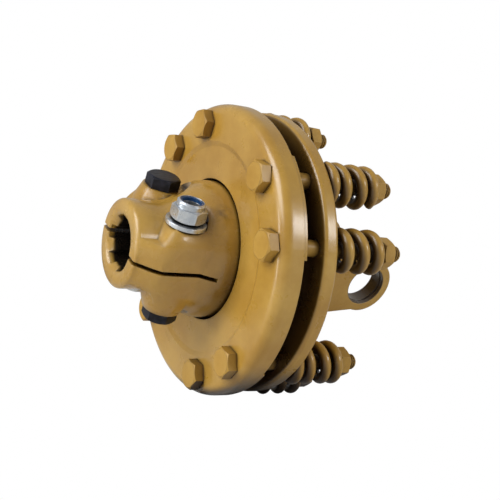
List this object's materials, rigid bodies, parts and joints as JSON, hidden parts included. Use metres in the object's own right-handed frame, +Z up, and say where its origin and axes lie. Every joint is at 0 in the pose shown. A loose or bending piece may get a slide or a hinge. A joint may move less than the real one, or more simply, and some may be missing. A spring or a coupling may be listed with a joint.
{
  "type": "torque limiter",
  "caption": "Friction torque limiter: splined clamp hub, dished plate with friction linings, sprung bolts and a flange yoke bored for a joint cross.",
  "frame": {"origin": "on the hub's bore axis, level with the two clamp bolts that lock into the shaft's groove", "axes": "+Y along the shaft axis from the clamp hub towards the yoke ears, +Z up as in the picture, +X to the side that shows in it"},
  "size_m": [0.1864, 0.1835, 0.1864],
  "materials": {
    "hub_paint": "gloss tan-gold paint on cast steel",
    "plate_paint": "gloss tan-gold paint on pressed steel",
    "yoke_paint": "gloss tan-gold paint on forged steel",
    "bolt_paint": "painted over after assembly",
    "spring_paint": "painted spring steel",
    "black_bolt": "black oxide",
    "zinc": "bright zinc plate",
    "nylon": "blue nylon",
    "lining": "woven friction lining",
    "bush": "plain bronze"
  },
  "bodies": {
    "hub": {"hub": "hub_paint", "friction_disc_front": "lining", "friction_disc_rear": "lining", "clamp_bolt_1": "black_bolt", "clamp_bolt_2": "black_bolt", "clamp_washer_1": "zinc", "clamp_washer_2": "zinc", "clamp_nut_1": "zinc", "clamp_nut_2": "zinc", "clamp_nut_ring_1": "nylon", "clamp_nut_ring_2": "nylon"},
    "drum": {"yoke": "yoke_paint", "front_plate": "plate_paint", "pilot_bush": "bush", "spring_bolt_1": "bolt_paint", "spring_bolt_2": "bolt_paint", "spring_bolt_3": "bolt_paint", "spring_bolt_4": "bolt_paint", "spring_bolt_5": "bolt_paint", "spring_bolt_6": "bolt_paint", "spring_bolt_7": "bolt_paint", "spring_bolt_8": "bolt_paint", "spring_1": "spring_paint", "spring_2": "spring_paint", "spring_3": "spring_paint", "spring_4": "spring_paint", "spring_5": "spring_paint", "spring_6": "spring_paint", "spring_7": "spring_paint", "spring_8": "spring_paint", "spring_nut_1": "bolt_paint", "spring_nut_2": "bolt_paint", "spring_nut_3": "bolt_paint", "spring_nut_4": "bolt_paint", "spring_nut_5": "bolt_paint", "spring_nut_6": "bolt_paint", "spring_nut_7": "bolt_paint", "spring_nut_8": "bolt_paint"}
  },
  "joints": [
    {"name": "slip", "type": "hinge", "parent": "hub", "child": "drum", "pos_m": [0, 0, 0], "axis": [0, 1, 0], "continuous": true}
  ]
}
